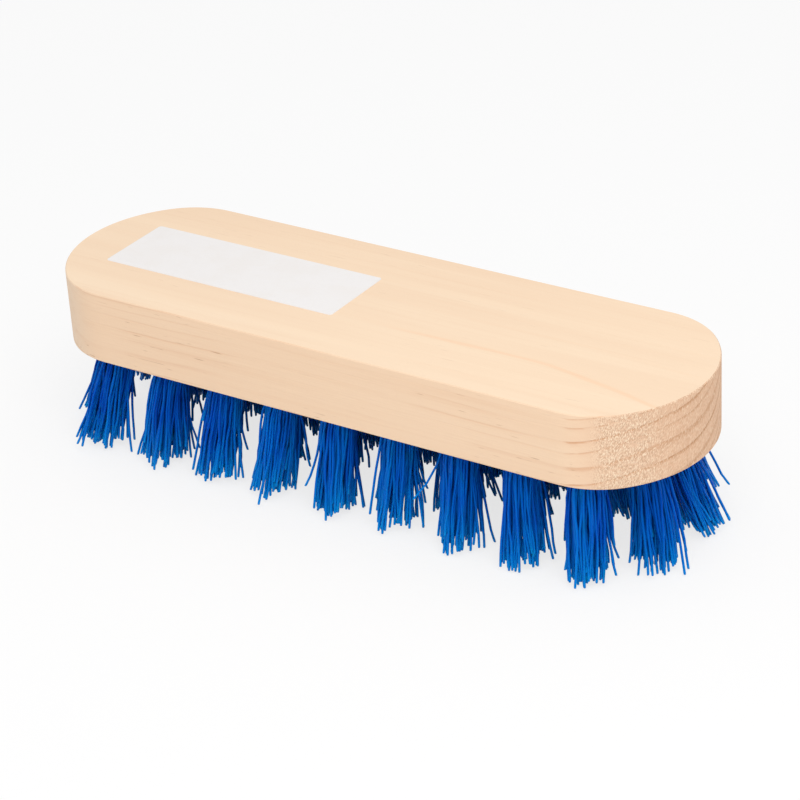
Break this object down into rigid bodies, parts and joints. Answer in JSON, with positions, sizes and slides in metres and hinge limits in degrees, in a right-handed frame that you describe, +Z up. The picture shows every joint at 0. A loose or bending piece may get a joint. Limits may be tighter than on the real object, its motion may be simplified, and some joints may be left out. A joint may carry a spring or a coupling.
{
  "type": "scrub brush",
  "caption": "Hand scrub brush: an oblong wooden block with flattened round ends, staggered rows of fanned plastic bristle tufts below and a bare paper label on its back.",
  "frame": {"origin": "under the middle of the block, on the plane that the longest bristle tips reach, where the brush stands on its bristles", "axes": "+X along the block, away from the label; +Y across the block, towards the rear rows; +Z up, from the bristle tips to the block's back"},
  "size_m": [0.2, 0.0674, 0.0514],
  "materials": {
    "wood": "planed and sanded, unfinished",
    "bristles": "drawn filament, satin",
    "label": "matt white paper",
    "wire": "drawn wire"
  },
  "bodies": {
    "root": {"label": "label", "tuft_front_inner_1": "bristles", "tuft_front_inner_10": "bristles", "tuft_front_inner_2": "bristles", "tuft_front_inner_3": "bristles", "tuft_front_inner_4": "bristles", "tuft_front_inner_5": "bristles", "tuft_front_inner_6": "bristles", "tuft_front_inner_7": "bristles", "tuft_front_inner_8": "bristles", "tuft_front_inner_9": "bristles", "tuft_front_outer_1": "bristles", "tuft_front_outer_2": "bristles", "tuft_front_outer_3": "bristles", "tuft_front_outer_4": "bristles", "tuft_front_outer_5": "bristles", "tuft_front_outer_6": "bristles", "tuft_front_outer_7": "bristles", "tuft_front_outer_8": "bristles", "tuft_front_outer_9": "bristles", "tuft_rear_inner_1": "bristles", "tuft_rear_inner_10": "bristles", "tuft_rear_inner_2": "bristles", "tuft_rear_inner_3": "bristles", "tuft_rear_inner_4": "bristles", "tuft_rear_inner_5": "bristles", "tuft_rear_inner_6": "bristles", "tuft_rear_inner_7": "bristles", "tuft_rear_inner_8": "bristles", "tuft_rear_inner_9": "bristles", "tuft_rear_outer_1": "bristles", "tuft_rear_outer_2": "bristles", "tuft_rear_outer_3": "bristles", "tuft_rear_outer_4": "bristles", "tuft_rear_outer_5": "bristles", "tuft_rear_outer_6": "bristles", "tuft_rear_outer_7": "bristles", "tuft_rear_outer_8": "bristles", "tuft_rear_outer_9": "bristles", "tuft_staples": "wire", "wood_block": "wood"}
  },
  "joints": []
}
